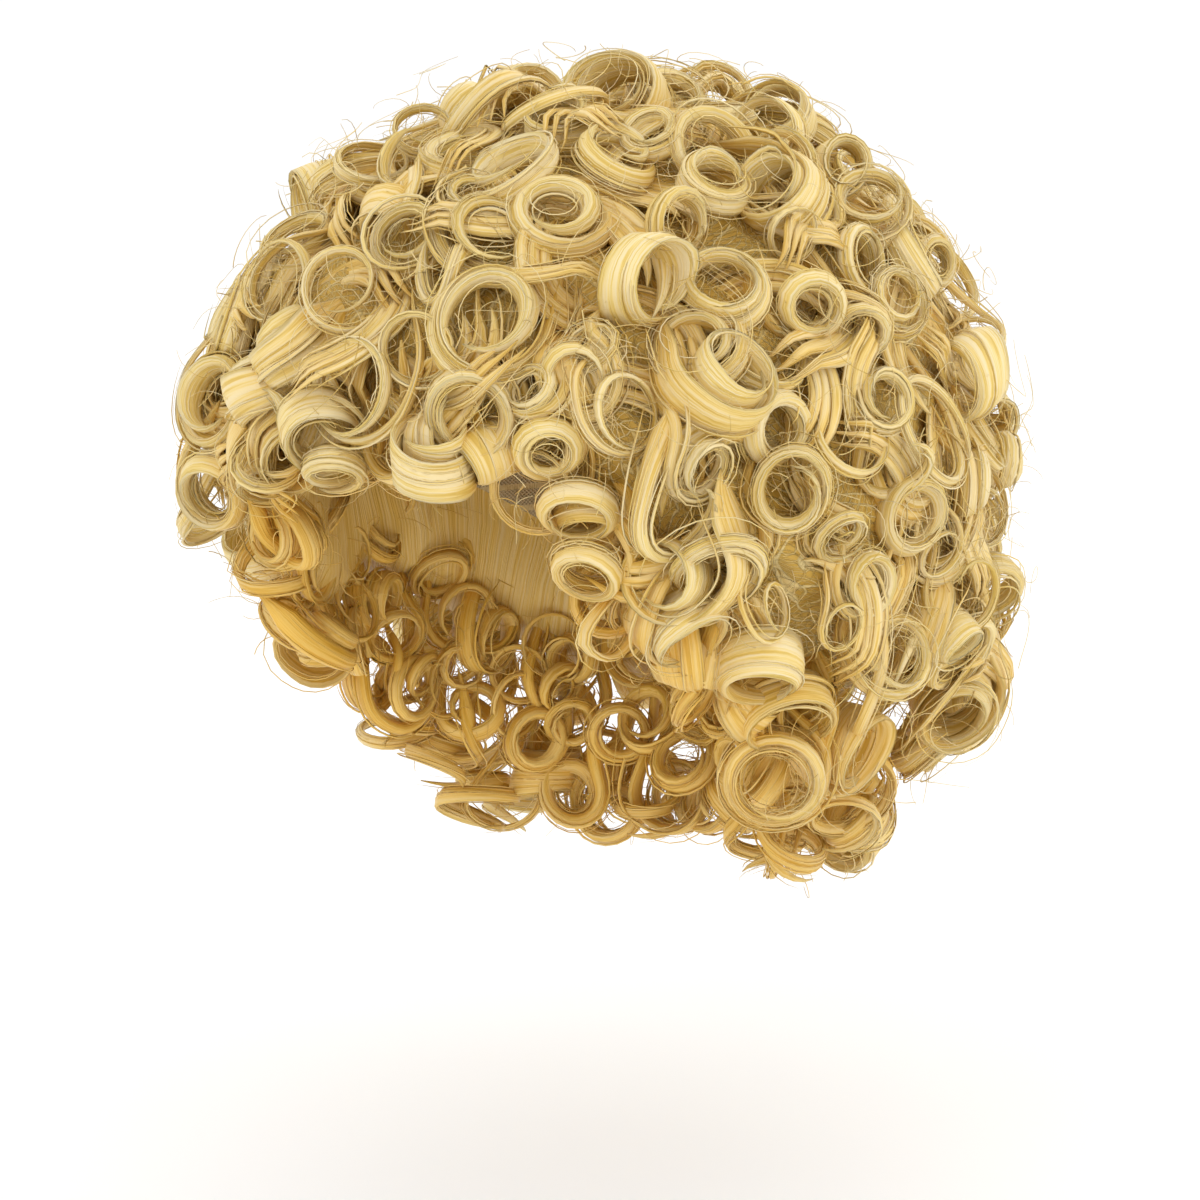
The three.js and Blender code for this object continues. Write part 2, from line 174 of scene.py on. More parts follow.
class Bundle:
    """Thin closed tubes that share one mesh: each has its own strip of texture space."""

    def __init__(self):
        self.points, self.quads, self.ends = [], [], []
        self.quad_maps, self.end_maps = [], []
        self.tint, self.shade, self.weight = [], [], []
        self.count = self.strips = 0

    def add(self, path, wide, thin, half_width, half_thickness, tint, shade, weight, sides=3, ridge=0.0):
        """Tubes: path, wide and thin are N x K x 3, the half sizes N x K, and ridge grooves the section."""
        n, k = path.shape[:2]
        path = within_reach(path)
        turn = math.pi / 2 + np.arange(sides) * FULL_TURN / sides
        groove = 1.0
        if ridge:
            gone = np.linspace(0, 1, k)[None, :, None]
            shift = uniform(0, FULL_TURN, (n, 1, sides))
            shift = shift + uniform(3, 11, (n, 1, sides)) * gone
            groove = 1 + ridge * (uniform(-0.7, 0.7, (n, 1, sides)) + 0.5 * (-1.0) ** np.arange(sides)
                                  + 0.4 * np.sin(shift))
        ring = (
            path[:, :, None, :]
            + wide[:, :, None, :] * (half_width[:, :, None] * np.cos(turn) * groove)[..., None]
            + thin[:, :, None, :] * (half_thickness[:, :, None] * np.sin(turn) * groove)[..., None]
        )
        start = self.count
        self.points.append(ring.reshape(-1, 3))
        self.count += n * k * sides
        gone = np.cumsum(norm(np.diff(path, axis=1), axis=2), axis=1)
        along = np.concatenate([np.zeros((n, 1)), gone], axis=1)
        round_it = (half_width + half_thickness).mean(axis=1) * 2.6
        tube, step, side = np.meshgrid(np.arange(n), np.arange(k - 1), np.arange(sides), indexing="ij")

        def corner(tube, s, j):
            vertex = start + (tube * k + s) * sides + j % sides
            part = j / sides
            strip = self.strips + tube
            fields = (part * round_it[tube], along[tube, s] + 37.0 * strip, strip, s / (k - 1), part)
            return vertex, np.stack(fields, -1)

        corners = [corner(tube, step, side), corner(tube, step, side + 1),
                   corner(tube, step + 1, side + 1), corner(tube, step + 1, side)]
        self.quads.append(np.stack([c[0] for c in corners], -1).reshape(-1, 4))
        self.quad_maps.append(np.stack([c[1] for c in corners], -2).reshape(-1, 5))
        tube, fan = np.meshgrid(np.arange(n), np.arange(1, sides - 1), indexing="ij")
        for row, flip in ((0, True), (k - 1, False)):
            at = np.full_like(tube, row)
            corners = [corner(tube, at, np.zeros_like(fan)), corner(tube, at, fan), corner(tube, at, fan + 1)]
            if flip:
                corners.reverse()
            self.ends.append(np.stack([c[0] for c in corners], -1).reshape(-1, 3))
            self.end_maps.append(np.stack([c[1] for c in corners], -2).reshape(-1, 5))
        self.tint.append(np.repeat(np.broadcast_to(tint, (n, k)), sides, axis=1).ravel())
        # Painted shade, darker the deeper the tube lies in the body of hair
        deep = shade + PAINTED_DEPTH_SHADE * np.clip(depth_inside(path) / PAINTED_SHADE_REACH, 0.0, 1.0)
        self.shade.append(np.repeat(np.broadcast_to(deep, (n, k)), sides, axis=1).ravel())
        self.weight.append(np.full(n, float(weight)))
        self.strips += n

    def packed(self, fields):
        """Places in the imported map: strips lie in columns, and a wide band's strip is taller."""
        weight = np.concatenate(self.weight)
        middle = np.cumsum(weight) - weight / 2
        columns = max(1, round(math.sqrt(weight.sum() / PACKED_PER_COLUMN)))
        column = np.minimum((middle / weight.sum() * columns).astype(int), columns - 1)
        below = np.cumsum(weight) - weight
        bottom = np.array([below[column == c].min() for c in range(columns)])
        tallest = max((below + weight)[column == c].max() - bottom[c] for c in range(columns))
        strip = fields[:, 2].astype(int)
        low = (below - bottom[column])[strip]
        across = SPACE_BESIDE + (1 - 2 * SPACE_BESIDE) * fields[:, 3]
        up = SPACE_ABOVE + (1 - 2 * SPACE_ABOVE) * fields[:, 4]
        return np.stack([(column[strip] + across) / columns, (low + weight[strip] * up) / tallest], -1)

    def mesh(self, name):
        """One mesh of all the tubes, with a strand map in millimetres and a packed map of strips."""
        points = np.concatenate(self.points) * METRES
        quads, ends = np.concatenate(self.quads), np.concatenate(self.ends)
        fields = np.concatenate(self.quad_maps + self.end_maps)
        corners = np.concatenate([quads.ravel(), ends.ravel()]).astype(np.int32)
        starts = np.concatenate([np.arange(len(quads)) * 4, quads.size + np.arange(len(ends)) * 3])
        mesh = bpy.data.meshes.new(name)
        mesh.vertices.add(len(points))
        mesh.vertices.foreach_set("co", points.astype(np.float32).ravel())
        mesh.loops.add(len(corners))
        mesh.loops.foreach_set("vertex_index", corners)
        mesh.polygons.add(len(starts))
        mesh.polygons.foreach_set("loop_start", starts.astype(np.int32))
        mesh.polygons.foreach_set("use_smooth", np.ones(len(starts), dtype=bool))
        mesh.update(calc_edges=True)
        for label, values in (("tint", self.tint), ("shade", self.shade)):
            add_field(mesh, label, np.concatenate(values))
        for label, values in (("Strand", fields[:, :2]), ("OFBake", self.packed(fields))):
            layer = mesh.uv_layers.new(name=label)
            layer.data.foreach_set("uv", values.astype(np.float32).ravel())
        mesh.validate(verbose=False)
        return mesh


def add_field(mesh, label, values):
    """A value at each point of a mesh, which its material reads."""
    layer = mesh.attributes.new(label, "FLOAT", "POINT")
    layer.data.foreach_set("value", values.astype(np.float32))


def depth_inside(points):
    """How deep points lie in the body of hair, in millimetres, and less than zero outside it."""
    x, y = points[..., 0], points[..., 1] - HAIR_SET_BACK
    across = np.hypot(x / (HAIR_BREADTH / 2), y / (HAIR_LENGTH / 2))
    above = points[..., 2] + WIDEST_DROP
    dome = np.hypot(across, above / (HAIR_ABOVE + WIDEST_DROP))
    full = LOWER_FULLNESS
    bowl = (across ** full + (np.maximum(0.0, -above) / LOWER_DEPTH) ** full) ** (1 / full)
    return (1 - np.where(above > 0, dome, bowl)) * HAIR_LENGTH / 2


def within_reach(path):
    """Strands that would stand far off the wig are drawn in towards it."""
    inwards = normalised(np.array([0.0, HAIR_SET_BACK, -WIDEST_DROP]) - path, 1e-6)
    far = np.maximum(0.0, -depth_inside(path) - FREE_REACH)
    path = path + inwards * (far - REACH_SPARED * np.tanh(far / REACH_SOFTNESS))[..., None]
    for axis, (low, high) in enumerate(REACH_BOX):
        over = np.maximum(0.0, path[..., axis] - high)
        under = np.maximum(0.0, low - path[..., axis])
        spared = BOX_SPARED * (np.tanh(over / BOX_SOFTNESS) - np.tanh(under / BOX_SOFTNESS))
        path[..., axis] += under - over + spared
    return path


def sample(dense, at):
    """Values of a dense path at shares of its length, for each of N tubes."""
    place = at * (len(dense) - 1)
    low = np.clip(np.floor(place).astype(int), 0, len(dense) - 2)
    part = (place - low)[..., None]
    return dense[low] * (1 - part) + dense[low + 1] * part


def lay_tubes(bundle, dense, axis, layout, look):
    """Tubes that follow one dense path, each at its own place in the lock's section.

    layout holds N-long arrays: across and along (mm from the lock's middle), facing (the angle of its
    thin side), width, thickness, begin, end (shares of the path) and wander (mm), and steps and sides.
    look holds tint (N), root and tip (the painted shade at either end), flare (how much wider the lock is
    at its root), weight, ridge, and root_taper and tip_taper (how fast the ends reach their full size)."""
    n, k = len(layout["across"]), layout["steps"]
    share = np.linspace(0, 1, k)[None, :]
    at = layout["begin"][:, None] + (layout["end"] - layout["begin"])[:, None] * share
    tangent = normalised(np.gradient(dense, axis=0), 1e-9)
    side = normalised(np.cross(tangent, axis[None, :]), 1e-9)
    rise = np.cross(side, tangent)
    side_at, rise_at = sample(side, at), sample(rise, at)
    swing = uniform(0, FULL_TURN, (2, n, 1))
    pace = uniform(0.5, 1.7, (2, n, 1))
    wander = layout["wander"][:, None]
    fan = 1 + look["flare"] * (1 - at) ** 3 + 0.2 * at ** 8
    across = layout["across"][:, None] * fan + wander * np.sin(swing[0] + pace[0] * at * FULL_TURN)
    along = layout["along"][:, None] * fan + wander * np.sin(swing[1] + pace[1] * at * FULL_TURN)
    path = sample(dense, at) + side_at * across[..., None] + rise_at * along[..., None]
    facing = layout["facing"][:, None] + 0.15 * np.sin(swing[0] + at * 8)
    thin = side_at * np.cos(facing)[..., None] + rise_at * np.sin(facing)[..., None]
    wide = rise_at * np.cos(facing)[..., None] - side_at * np.sin(facing)[..., None]
    taper = np.minimum(1.0, TIP_SIZE + look["tip_taper"] * (1 - share))
    taper = taper * np.minimum(1.0, ROOT_SIZE + look["root_taper"] * share)
    swell = 1 + 0.16 * np.sin(swing[1] * 2 + at * 13)
    # Painted shade along the tube, from its root to its tip
    shade = look["root"] + (look["tip"] - look["root"]) * np.minimum(1.0, at * 2.2)
    half_width = layout["width"][:, None] / 2 * taper * swell
    half_thickness = layout["thickness"][:, None] / 2 * taper
    bundle.add(path, wide, thin, half_width, half_thickness, look["tint"][:, None], shade, look["weight"],
               layout["sides"], look["ridge"])


# A tube's size at its very tip and root, as shares of its full size
TIP_SIZE, ROOT_SIZE = 0.08, 0.1

# How much wider a ring starts, and how much narrower it ends
ROOT_FLARE, TIP_CLOSING = 0.26, 0.14
RING_STEPS, APPROACH_STEPS, LINE_STEPS = 120, 40, 220


def lock_path(middle, axis, down, radius, turns, hand, start, sink, rise, squeeze, lead, drift):
    """The middle line of a lock: in from the crown's side, round its axis and up to its tip."""
    across = np.cross(axis, down)
    share = np.linspace(0, 1, RING_STEPS)
    angle = start + hand * share * turns * FULL_TURN
    reach = radius * (1 + ROOT_FLARE * (1 - share) ** 2 - TIP_CLOSING * share)
    height = -sink + (sink + rise) * share ** 0.85
    wobble = 1 + 0.05 * np.sin(2 * angle + start * 5)
    ring = (
        middle
        + down * (np.cos(angle) * reach * wobble * squeeze)[:, None]
        + across * (np.sin(angle) * reach * wobble)[:, None]
        + axis * height[:, None]
        + (down * drift[0] + across * drift[1]) * share[:, None]
    )
    arrival = unit(ring[1] - ring[0])
    root = middle + lead
    pull = norm(ring[0] - root) * 0.5
    flow = unit(ring[0] - root + down * 4)
    t = np.linspace(0, 1, APPROACH_STEPS)[:-1, None]
    p1, p2 = root + flow * pull, ring[0] - arrival * pull
    approach = root * (1 - t) ** 3 + 3 * p1 * t * (1 - t) ** 2 + 3 * p2 * t ** 2 * (1 - t) + ring[0] * t ** 3
    line = np.concatenate([approach, ring])
    gone = np.concatenate([[0], np.cumsum(norm(np.diff(line, axis=0), axis=1))])
    even = np.linspace(0, gone[-1], LINE_STEPS)
    return np.stack([np.interp(even, gone, line[:, i]) for i in range(3)], axis=1), gone[-1]


def downwards(normal):
    """The direction down along a surface that faces along normal."""
    down = np.array([0.0, 0.0, -1.0]) + normal * normal[2]
    if norm(down) < 0.2:
        down = np.array([0.0, 1.0, 0.0])
    return unit(down - normal * down.dot(normal))


# What the parts of a lock look like. base is the share of the lock's own tint, tints what is added for each
# tube, root the painted shade added at the root, and tip the share of the lock's painted shade left at the
# tip.
CORE_LOOK = dict(base=0.5, tints=(0.1, 0.35), root=0.5, tip=1.0, weight=5, ridge=0.13, tip_taper=4.6)
BAND_LOOK = dict(base=0.4, tints=(0.15, 0.6), root=0.4, tip=1.0, weight=2, ridge=0.0, tip_taper=4.6)
STRAND_LOOK = dict(base=0.3, tints=(0.1, 0.85), root=0.3, tip=0.6, weight=1, ridge=0.0, tip_taper=2.6,
                   root_taper=8.0)
CLOSE_STRANDS = 0.65
THIN_LOCK = 3.0
SWEEP_LEAD, SWEEP_SINK = 15, 11
HANGING_SPREAD = 25


def add_lock(bundle, middle, normal, kind, size=1.0, shade=0.0, axis=None, radius=None, part=1.0):
    """A whole ringlet or sweep: grooved cores, bands round them, and loose strands among them.

    part is the share of its bands and strands that is drawn."""
    form = KINDS[kind]
    down = downwards(normal)
    side = np.cross(normal, down)
    if axis is None:
        lean = math.radians(uniform(*form["lean"]))
        if form["way"] is None:
            way = uniform(0, FULL_TURN)
        else:
            way = math.radians(rng.normal(form["way"], HANGING_SPREAD))
        axis = unit(normal * math.cos(lean) + (down * math.cos(way) + side * math.sin(way)) * math.sin(lean))
    fall = unit(down - axis * down.dot(axis) + normal * 1e-3)
    lock = form["lock"] * uniform(0.8, 1.25) * size
    depth = form["depth"] * uniform(0.75, 1.25) * size
    radius = uniform(*form["radius"]) * size if radius is None else radius - lock / 2
    turns = uniform(*form["turns"])
    hand = rng.choice([-1, 1])
    start = -hand * math.pi / 2 + rng.normal(0, 0.5)
    if kind == "sweep":
        start = uniform(0, FULL_TURN)
        half_way = start + hand * turns * math.pi
        middle = middle - radius * (fall * math.cos(half_way) + np.cross(axis, fall) * math.sin(half_way))
        out = fall * math.cos(start) + np.cross(axis, fall) * math.sin(start)
        lead = out * radius * (1 + ROOT_FLARE) - hand * np.cross(axis, out) * SWEEP_LEAD - axis * SWEEP_SINK
    else:
        lead = -down * (radius + uniform(12, 24)) - normal * uniform(9, 16)
        lead = lead - side * hand * radius * 0.4 + side * rng.normal(0, 5)
    dense, length = lock_path(
        middle, axis, fall, radius, turns, hand, start,
        sink=form["sink"] * size, rise=uniform(*form["rise"]) * size,
        squeeze=uniform(0.9, 1.08), lead=lead, drift=rng.normal(0, form["drift"], 2),
    )
    base_tint = uniform(0, 1)

    def lay(look, layout):
        """Lay one part of the lock, with its own tints."""
        tints = uniform(*look["tints"], len(layout["across"]))
        lay_tubes(bundle, dense, axis, layout, {
            "root_taper": form["root_taper"], **look, "flare": form["flare"],
            "tint": np.clip(base_tint * look["base"] + tints, 0, 1),
            # painted shade at the root and at the tip
            "root": shade + look["root"], "tip": shade * look["tip"],
        })

    cores = form["cores"]
    spread = (np.arange(cores) - (cores - 1) / 2) / cores
    deep = depth >= lock
    lay(CORE_LOOK, {
        "across": np.zeros(cores) if deep else spread * lock,
        "along": spread * depth if deep else np.zeros(cores),
        "facing": rng.normal(0, 0.12, cores),
        "width": np.full(cores, depth * (1.25 / cores if deep else 1.0)),
        "thickness": np.full(cores, lock * (1.0 if deep else 1.25 / cores)),
        "begin": uniform(0.0, 0.02, cores),
        "end": uniform(form["ragged"], 1.0, cores),
        "wander": uniform(0.1, 0.3, cores) * form["loose"],
        "steps": int(length / form["pitch"]) + 4,
        "sides": form["sides"],
    })
    bands = max(1, round(form["bands"] * part))
    around = np.arange(bands) * FULL_TURN / bands + uniform(0, FULL_TURN)
    reach = uniform(0.95, 1.45, bands)
    lay(BAND_LOOK, {
        "across": np.cos(around) * reach * lock / 2,
        "along": np.sin(around) * reach * depth / 2,
        "facing": np.arctan2(np.sin(around) / depth, np.cos(around) / lock) + rng.normal(0, 0.3, bands),
        "width": uniform(0.9, 2.3, bands) * min(1.0, lock / THIN_LOCK),
        "thickness": uniform(0.6, 0.95, bands) * min(1.0, lock / THIN_LOCK),
        "begin": uniform(0.0, 0.08, bands),
        "end": uniform(0.8, 1.0, bands),
        "wander": uniform(0.3, 0.8, bands) * form["loose"],
        "steps": int(length / form["pitch"]) + 3,
        "sides": 3,
    })
    strands = max(1, round(form["strands"] * part * uniform(0.8, 1.2)))
    close = uniform(0, 1, strands) < CLOSE_STRANDS
    reach = np.where(close, uniform(0.95, 1.2, strands), uniform(1.3, 2.2, strands))
    around = uniform(0, FULL_TURN, strands)
    lay(STRAND_LOOK, {
        "across": np.cos(around) * reach * lock / 2,
        "along": np.sin(around) * reach * depth / 2,
        "facing": around,
        "width": uniform(0.35, 0.8, strands),
        "thickness": uniform(0.28, 0.45, strands),
        "begin": uniform(0.0, 0.3, strands),
        "end": uniform(0.84, 1.0, strands),
        "wander": uniform(0.15, 0.5, strands) * form["loose"] * reach ** 2,
        "steps": int(length / (form["pitch"] * 1.25)) + 3,
        "sides": 3,
    })
    # Stray hairs in the ring's middle, painted darker as shade
    for _ in range(form["centre"]):
        spot = middle + axis * uniform(-5, 3) + rng.normal(0, 0.25, 3) * radius
        add_strays(bundle, spot, axis, 1, 10, length=uniform(1.4, 3.0) * radius, shade=0.2,
                   bend_by=(1.5, 5.0))


# The kinds of lock. lean is the axis's angle from straight out, and way its direction from straight down.
# lock is how thick a lock is across the ring, depth how thick along the axis, sides how many a core has,
# pitch the length of a step, ragged where a core may end early, and centre the stray hairs in the ring.
USUAL = dict(way=None, cores=1, bands=2, drift=1.0, loose=0.9, ragged=0.93, root_taper=8.0)
KINDS = {
    "ring": dict(USUAL, lean=(4, 36), radius=(9.0, 12.0), turns=(1.2, 1.75), lock=4.5, depth=6.8, sides=8,
                 strands=7, sink=6, rise=(1, 4), flare=1.3, pitch=4.0, centre=4),
    "open_ring": dict(USUAL, lean=(4, 40), radius=(11.0, 14.5), turns=(1.05, 1.45), lock=1.8, depth=2.8,
                      sides=6, bands=1, strands=5, sink=3, rise=(1, 6), drift=2.2, flare=2.2, pitch=3.9,
                      centre=5),
    "puff": dict(USUAL, lean=(4, 50), radius=(8.5, 12.0), turns=(1.2, 1.7), lock=3.2, depth=4.2, sides=6,
                 strands=13, sink=5, rise=(1, 5), drift=2.0, loose=2.4, flare=1.4, pitch=4.5, centre=6),
    "barrel": dict(USUAL, lean=(48, 85), radius=(8.0, 10.5), turns=(1.2, 1.6), lock=3.0, depth=12.0, sides=11,
                   strands=6, sink=5, rise=(3, 7), flare=0.8, pitch=4.0, centre=3),
    "hook": dict(USUAL, lean=(20, 75), radius=(9.0, 13.0), turns=(0.7, 1.0), lock=2.8, depth=5.0, sides=8,
                 strands=6, sink=6, rise=(1, 5), drift=3.0, loose=1.2, flare=1.6, pitch=4.2, centre=3),
    "sweep": dict(USUAL, lean=(0, 25), radius=(18.0, 30.0), turns=(0.24, 0.42), lock=11.5, depth=2.8,
                  cores=3, sides=5, strands=7, sink=2, rise=(-8, -3), loose=1.2, flare=0.0, pitch=5.5,
                  centre=0, ragged=0.76, root_taper=2.4),
    "hanging": dict(USUAL, lean=(60, 100), way=0.0, radius=(8.0, 12.0), turns=(1.05, 1.5), lock=2.4,
                    depth=4.4, sides=7, strands=6, sink=3, rise=(9, 16), drift=2.0, loose=1.1, flare=1.2,
                    pitch=4.4, centre=1),
}

# Ringlets charted by their place in the view's picture: x and y of the middle, the greatest width across,
# how flat the ring looks, and the angle that its long side lies at, up from level
RING, OPEN, PUFF, BARREL, HOOK = "ring", "open_ring", "puff", "barrel", "hook"
CHART = (
    (RING, 558, 216, 82, 0.87, 0), (RING, 678, 224, 66, 0.77, 90), (HOOK, 776, 172, 82, 0.95, 0),
    (OPEN, 784, 234, 58, 0.85, 70), (PUFF, 411, 238, 70, 0.9, 45), (OPEN, 430, 140, 56, 0.85, 0),
    (RING, 492, 325, 108, 0.92, 0), (OPEN, 422, 349, 76, 0.92, 90), (RING, 479, 415, 84, 0.95, 0),
    (BARREL, 645, 283, 85, 0.58, 80), (RING, 719, 285, 84, 0.9, 0), (RING, 690, 345, 80, 0.8, 20),
    (BARREL, 722, 385, 80, 0.7, 150), (OPEN, 624, 408, 78, 0.74, 100), (RING, 561, 454, 66, 0.84, 0),
    (RING, 777, 427, 74, 0.67, 80), (RING, 803, 314, 74, 0.9, 60), (RING, 855, 335, 57, 0.9, 40),
    (PUFF, 894, 307, 64, 0.8, 110), (OPEN, 288, 291, 72, 0.87, 90), (OPEN, 352, 292, 80, 0.9, 30),
    (BARREL, 314, 425, 80, 0.75, 10), (RING, 325, 475, 60, 0.55, 0), (BARREL, 432, 460, 70, 0.5, 0),
    (HOOK, 264, 402, 64, 0.45, 110), (RING, 608, 521, 73, 0.7, 0), (RING, 613, 580, 66, 0.7, 170),
    (BARREL, 706, 578, 74, 0.9, 80), (BARREL, 722, 628, 80, 0.6, 30), (RING, 783, 487, 72, 0.95, 0),
    (OPEN, 752, 115, 56, 0.95, 0), (HOOK, 818, 218, 46, 0.8, 90), (PUFF, 862, 212, 76, 0.8, 0),
    (OPEN, 848, 150, 56, 0.65, 0), (RING, 926, 266, 52, 0.8, 100), (PUFF, 306, 240, 78, 0.6, 20),
    (PUFF, 214, 328, 64, 0.8, 90), (PUFF, 240, 458, 62, 0.8, 0), (HOOK, 262, 194, 48, 0.8, 90),
    (PUFF, 474, 206, 52, 0.8, 0), (HOOK, 385, 168, 70, 0.7, 160), (RING, 645, 140, 60, 0.7, 20),
    (RING, 560, 125, 66, 0.6, 10), (OPEN, 698, 95, 62, 0.7, 0), (OPEN, 780, 606, 54, 0.55, 100),
    (OPEN, 936, 553, 54, 0.7, 60), (OPEN, 845, 622, 44, 0.8, 60), (BARREL, 941, 632, 60, 0.6, 50),
    (BARREL, 793, 664, 84, 0.5, 0), (BARREL, 836, 716, 92, 0.5, 10), (PUFF, 818, 785, 100, 0.9, 0),
    (BARREL, 905, 744, 90, 0.5, 70), (RING, 880, 400, 62, 0.8, 120), (HOOK, 890, 470, 70, 0.7, 30),
    (RING, 700, 470, 60, 0.7, 60), (HOOK, 650, 640, 50, 0.6, 80), (OPEN, 972, 655, 50, 0.7, 80),
    (OPEN, 960, 335, 60, 0.6, 10), (OPEN, 979, 514, 60, 0.8, 90), (HOOK, 205, 560, 50, 0.5, 10),
    (PUFF, 590, 345, 50, 0.8, 30), (RING, 535, 390, 56, 0.8, 60), (OPEN, 470, 62, 56, 0.5, 160),
)

# The camera's place round the wig, and the size of the photograph
VIEW_AZIMUTH, VIEW_ELEVATION = 33.0, 13.0
VIEW_DISTANCE = 1.35
VIEW_TARGET = (0.0116, 0.0075, -0.1306)
PHOTO_WIDTH_PX = 1200.0
PHOTO_PX_PER_MM = 3.05

# How far from the camera a line of sight can meet the hair
SIGHT_NEAR, SIGHT_FAR = 1050.0, 1480.0


def direction(azimuth, elevation):
    a, e = math.radians(azimuth), math.radians(elevation)
    return Vector((math.sin(a) * math.cos(e), -math.cos(a) * math.cos(e), math.sin(e)))


def view_axes():
    """The directions towards the camera, and to the right and upwards in the picture."""
    view = np.array(direction(VIEW_AZIMUTH, VIEW_ELEVATION))
    right = np.array([math.cos(math.radians(VIEW_AZIMUTH)), math.sin(math.radians(VIEW_AZIMUTH)), 0.0])
    return view, right, np.cross(view, right)


def chart_place(x, y):
    """Where the line of sight through a place in the picture meets the body of hair: a turn and a height."""
    view, right, above = view_axes()
    eye = np.array(VIEW_TARGET) / METRES + view * VIEW_DISTANCE / METRES
    scale = PHOTO_PX_PER_MM * VIEW_DISTANCE / METRES
    ray = unit(-view * scale + right * (x - PHOTO_WIDTH_PX / 2) + above * (PHOTO_WIDTH_PX / 2 - y))
    for gone in np.arange(SIGHT_NEAR, SIGHT_FAR, 1.0):
        p = eye + ray * gone
        across, along = p[0] / (HAIR_BREADTH / 2), (HAIR_SET_BACK - p[1]) / (HAIR_LENGTH / 2)
        if p[2] < HAIR_ABOVE - 1 and math.hypot(across, along) < hair_spread(p[2]):
            return math.degrees(math.atan2(across, along)), p[2]
    return None


def chart_axis(flat, lie, normal):
    """The axis of a ring that looks as flat as given, and leans to the side that the hair faces."""
    view, right, above = view_axes()
    a = math.radians(lie + 90)
    short = right * math.cos(a) + above * math.sin(a)
    if short.dot(normal) < 0:
        short = -short
    return unit(view * flat + short * math.sqrt(1 - flat * flat))


def spread_points(count, first):
    """Evenly spread turns and heights over the whole form."""
    golden = math.pi * (3 - math.sqrt(5))
    for i in range(count):
        level = 1 - 2 * (i + 0.5) / count
        turn = math.degrees((i + first) * golden) % 360
        height = -WIDEST_DROP + level * (HAIR_ABOVE + WIDEST_DROP if level > 0 else LOWER_DEPTH)
        yield turn, min(height, HIGHEST_PLACE)


def lay_lock(bundles, turn, height, grow, kind, **settings):
    """A lock on the body of hair, or a distance off it, in its section's bundle."""
    middle = hair_point(turn, height, grow)
    add_lock(bundles[piece_at(turn, height)], middle, outward(turn, height), kind, **settings)


CHARTED_CLEARANCE = 7.0
CHARTED_UNIT = 12
OUTER_LOCKS, INNER_LOCKS, SWEEPS = 290, 20, 225


def build_ringlets(outer, filling):
    """The charted and the spread outer ringlets, and the deeper ones and the sweeps between them."""
    taken = []
    for kind, x, y, width, flat, lie in CHART:
        found = chart_place(x, y)
        if found is None:
            continue
        turn, height = found
        normal = outward(turn, height)
        radius = width / PHOTO_PX_PER_MM / 2
        middle = hair_point(turn, height, uniform(1.5, 4.5))
        add_lock(outer[piece_at(turn, height)], middle, normal, kind, size=radius / CHARTED_UNIT,
                 axis=chart_axis(flat, lie, normal), radius=radius)
        taken.append((middle, radius))
    for turn, height in spread_points(OUTER_LOCKS, 0):
        turn += rng.normal(0, 2.0)
        height = min(HIGHEST_PLACE, height + rng.normal(0, 2.5))
        middle = hair_point(turn, height, uniform(-1.0, 5.0))
        crowded = any(norm(middle - m) < CHARTED_CLEARANCE + r * 0.55 for m, r in taken)
        if crowded or height < hem_height(turn) + 6:
            continue
        kind = rng.choice([RING, OPEN, PUFF, BARREL, HOOK], p=[0.34, 0.16, 0.18, 0.20, 0.12])
        add_lock(outer[piece_at(turn, height)], middle, outward(turn, height), kind,
                 size=uniform(0.85, 1.25))
    for turn, height in spread_points(INNER_LOCKS, 0.47):
        if height < hem_height(turn) + 4:
            continue
        kind = rng.choice([RING, BARREL, PUFF], p=[0.35, 0.35, 0.3])
        # The deeper locks are painted darker as shade
        lay_lock(filling, turn, height, uniform(-8.0, -4.0), kind, shade=0.25, part=0.6)
    for turn, height in spread_points(SWEEPS, 0.71):
        if height < hem_height(turn) + 8:
            continue
        lay_lock(filling, turn, height, uniform(-3.0, 3.0), "sweep", shade=0.1, size=uniform(0.8, 1.2))


# The hem's locks: the step between them, how far they hang round from the front, and what kinds they are.
# Behind the ears two rows of them hang side by side.
HEM_STEP = 9.5
HANG_TURNS, HANG_DROPS = (0, 40, 60, 95, 120, 180), (2, 3, 2, 5, 14, 16)
HEM_KINDS = (RING, BARREL, OPEN, "hanging")
FRONT_CHANCES, BACK_CHANCES = (0.35, 0.35, 0.1, 0.2), (0.2, 0.2, 0.2, 0.4)
NAPE_TURN = 100


def build_hem(outer):
    """The ringlets that hang from the hem."""
    for turn in np.arange(-180, 180, HEM_STEP):
        around = abs(turn)
        low = hem_height(turn)
        drop = float(np.interp(around, HANG_TURNS, HANG_DROPS))
        base = hair_point(turn, low + 2)
        inside = head_point(turn, low, CAP_WALL)
        for inset in ((0.1, 0.65) if around > NAPE_TURN else (0.25,)):
            middle = base + (inside - base) * (inset + rng.normal(0, 0.06))
            middle[2] = low - drop * uniform(0.3, 1.4)
            normal = unit(outward(turn, -WIDEST_DROP) + np.array([0, 0, -0.35]))
            kind = rng.choice(HEM_KINDS, p=FRONT_CHANCES if around < NAPE_TURN else BACK_CHANCES)
            add_lock(outer[piece_at(turn, low + 3)], middle, normal, kind, size=0.95, shade=0.05)


# Rows of locks inside, by their drop below the cap's edge, and the step between the locks of a row
INNER_DROPS, INNER_STEP = (14.0, 30.0, 46.0, 62.0, 76.0), 17.0
TEMPLE_TURN = 48


